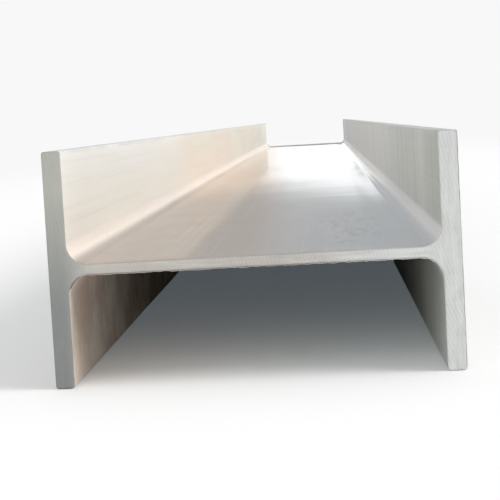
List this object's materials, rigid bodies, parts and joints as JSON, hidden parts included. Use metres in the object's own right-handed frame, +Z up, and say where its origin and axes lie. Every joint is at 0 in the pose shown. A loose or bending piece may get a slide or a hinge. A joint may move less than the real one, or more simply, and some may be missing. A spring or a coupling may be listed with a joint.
{
  "type": "steel h-beam",
  "caption": "Hot-rolled steel H-section beam with parallel flanges and hollow root corners, sawn square at both ends, lying on its flange edges with its web level.",
  "frame": {"origin": "on the resting plane, under the middle of the beam", "axes": "+Y along the beam, +X across the section from flange to flange, +Z up, square to the web"},
  "size_m": [0.354, 5.2, 0.205],
  "materials": {
    "rolled_steel": "as hot-rolled: thin mill scale with light rust; sawn ends"
  },
  "bodies": {
    "root": {"h_beam": "rolled_steel"}
  },
  "joints": []
}
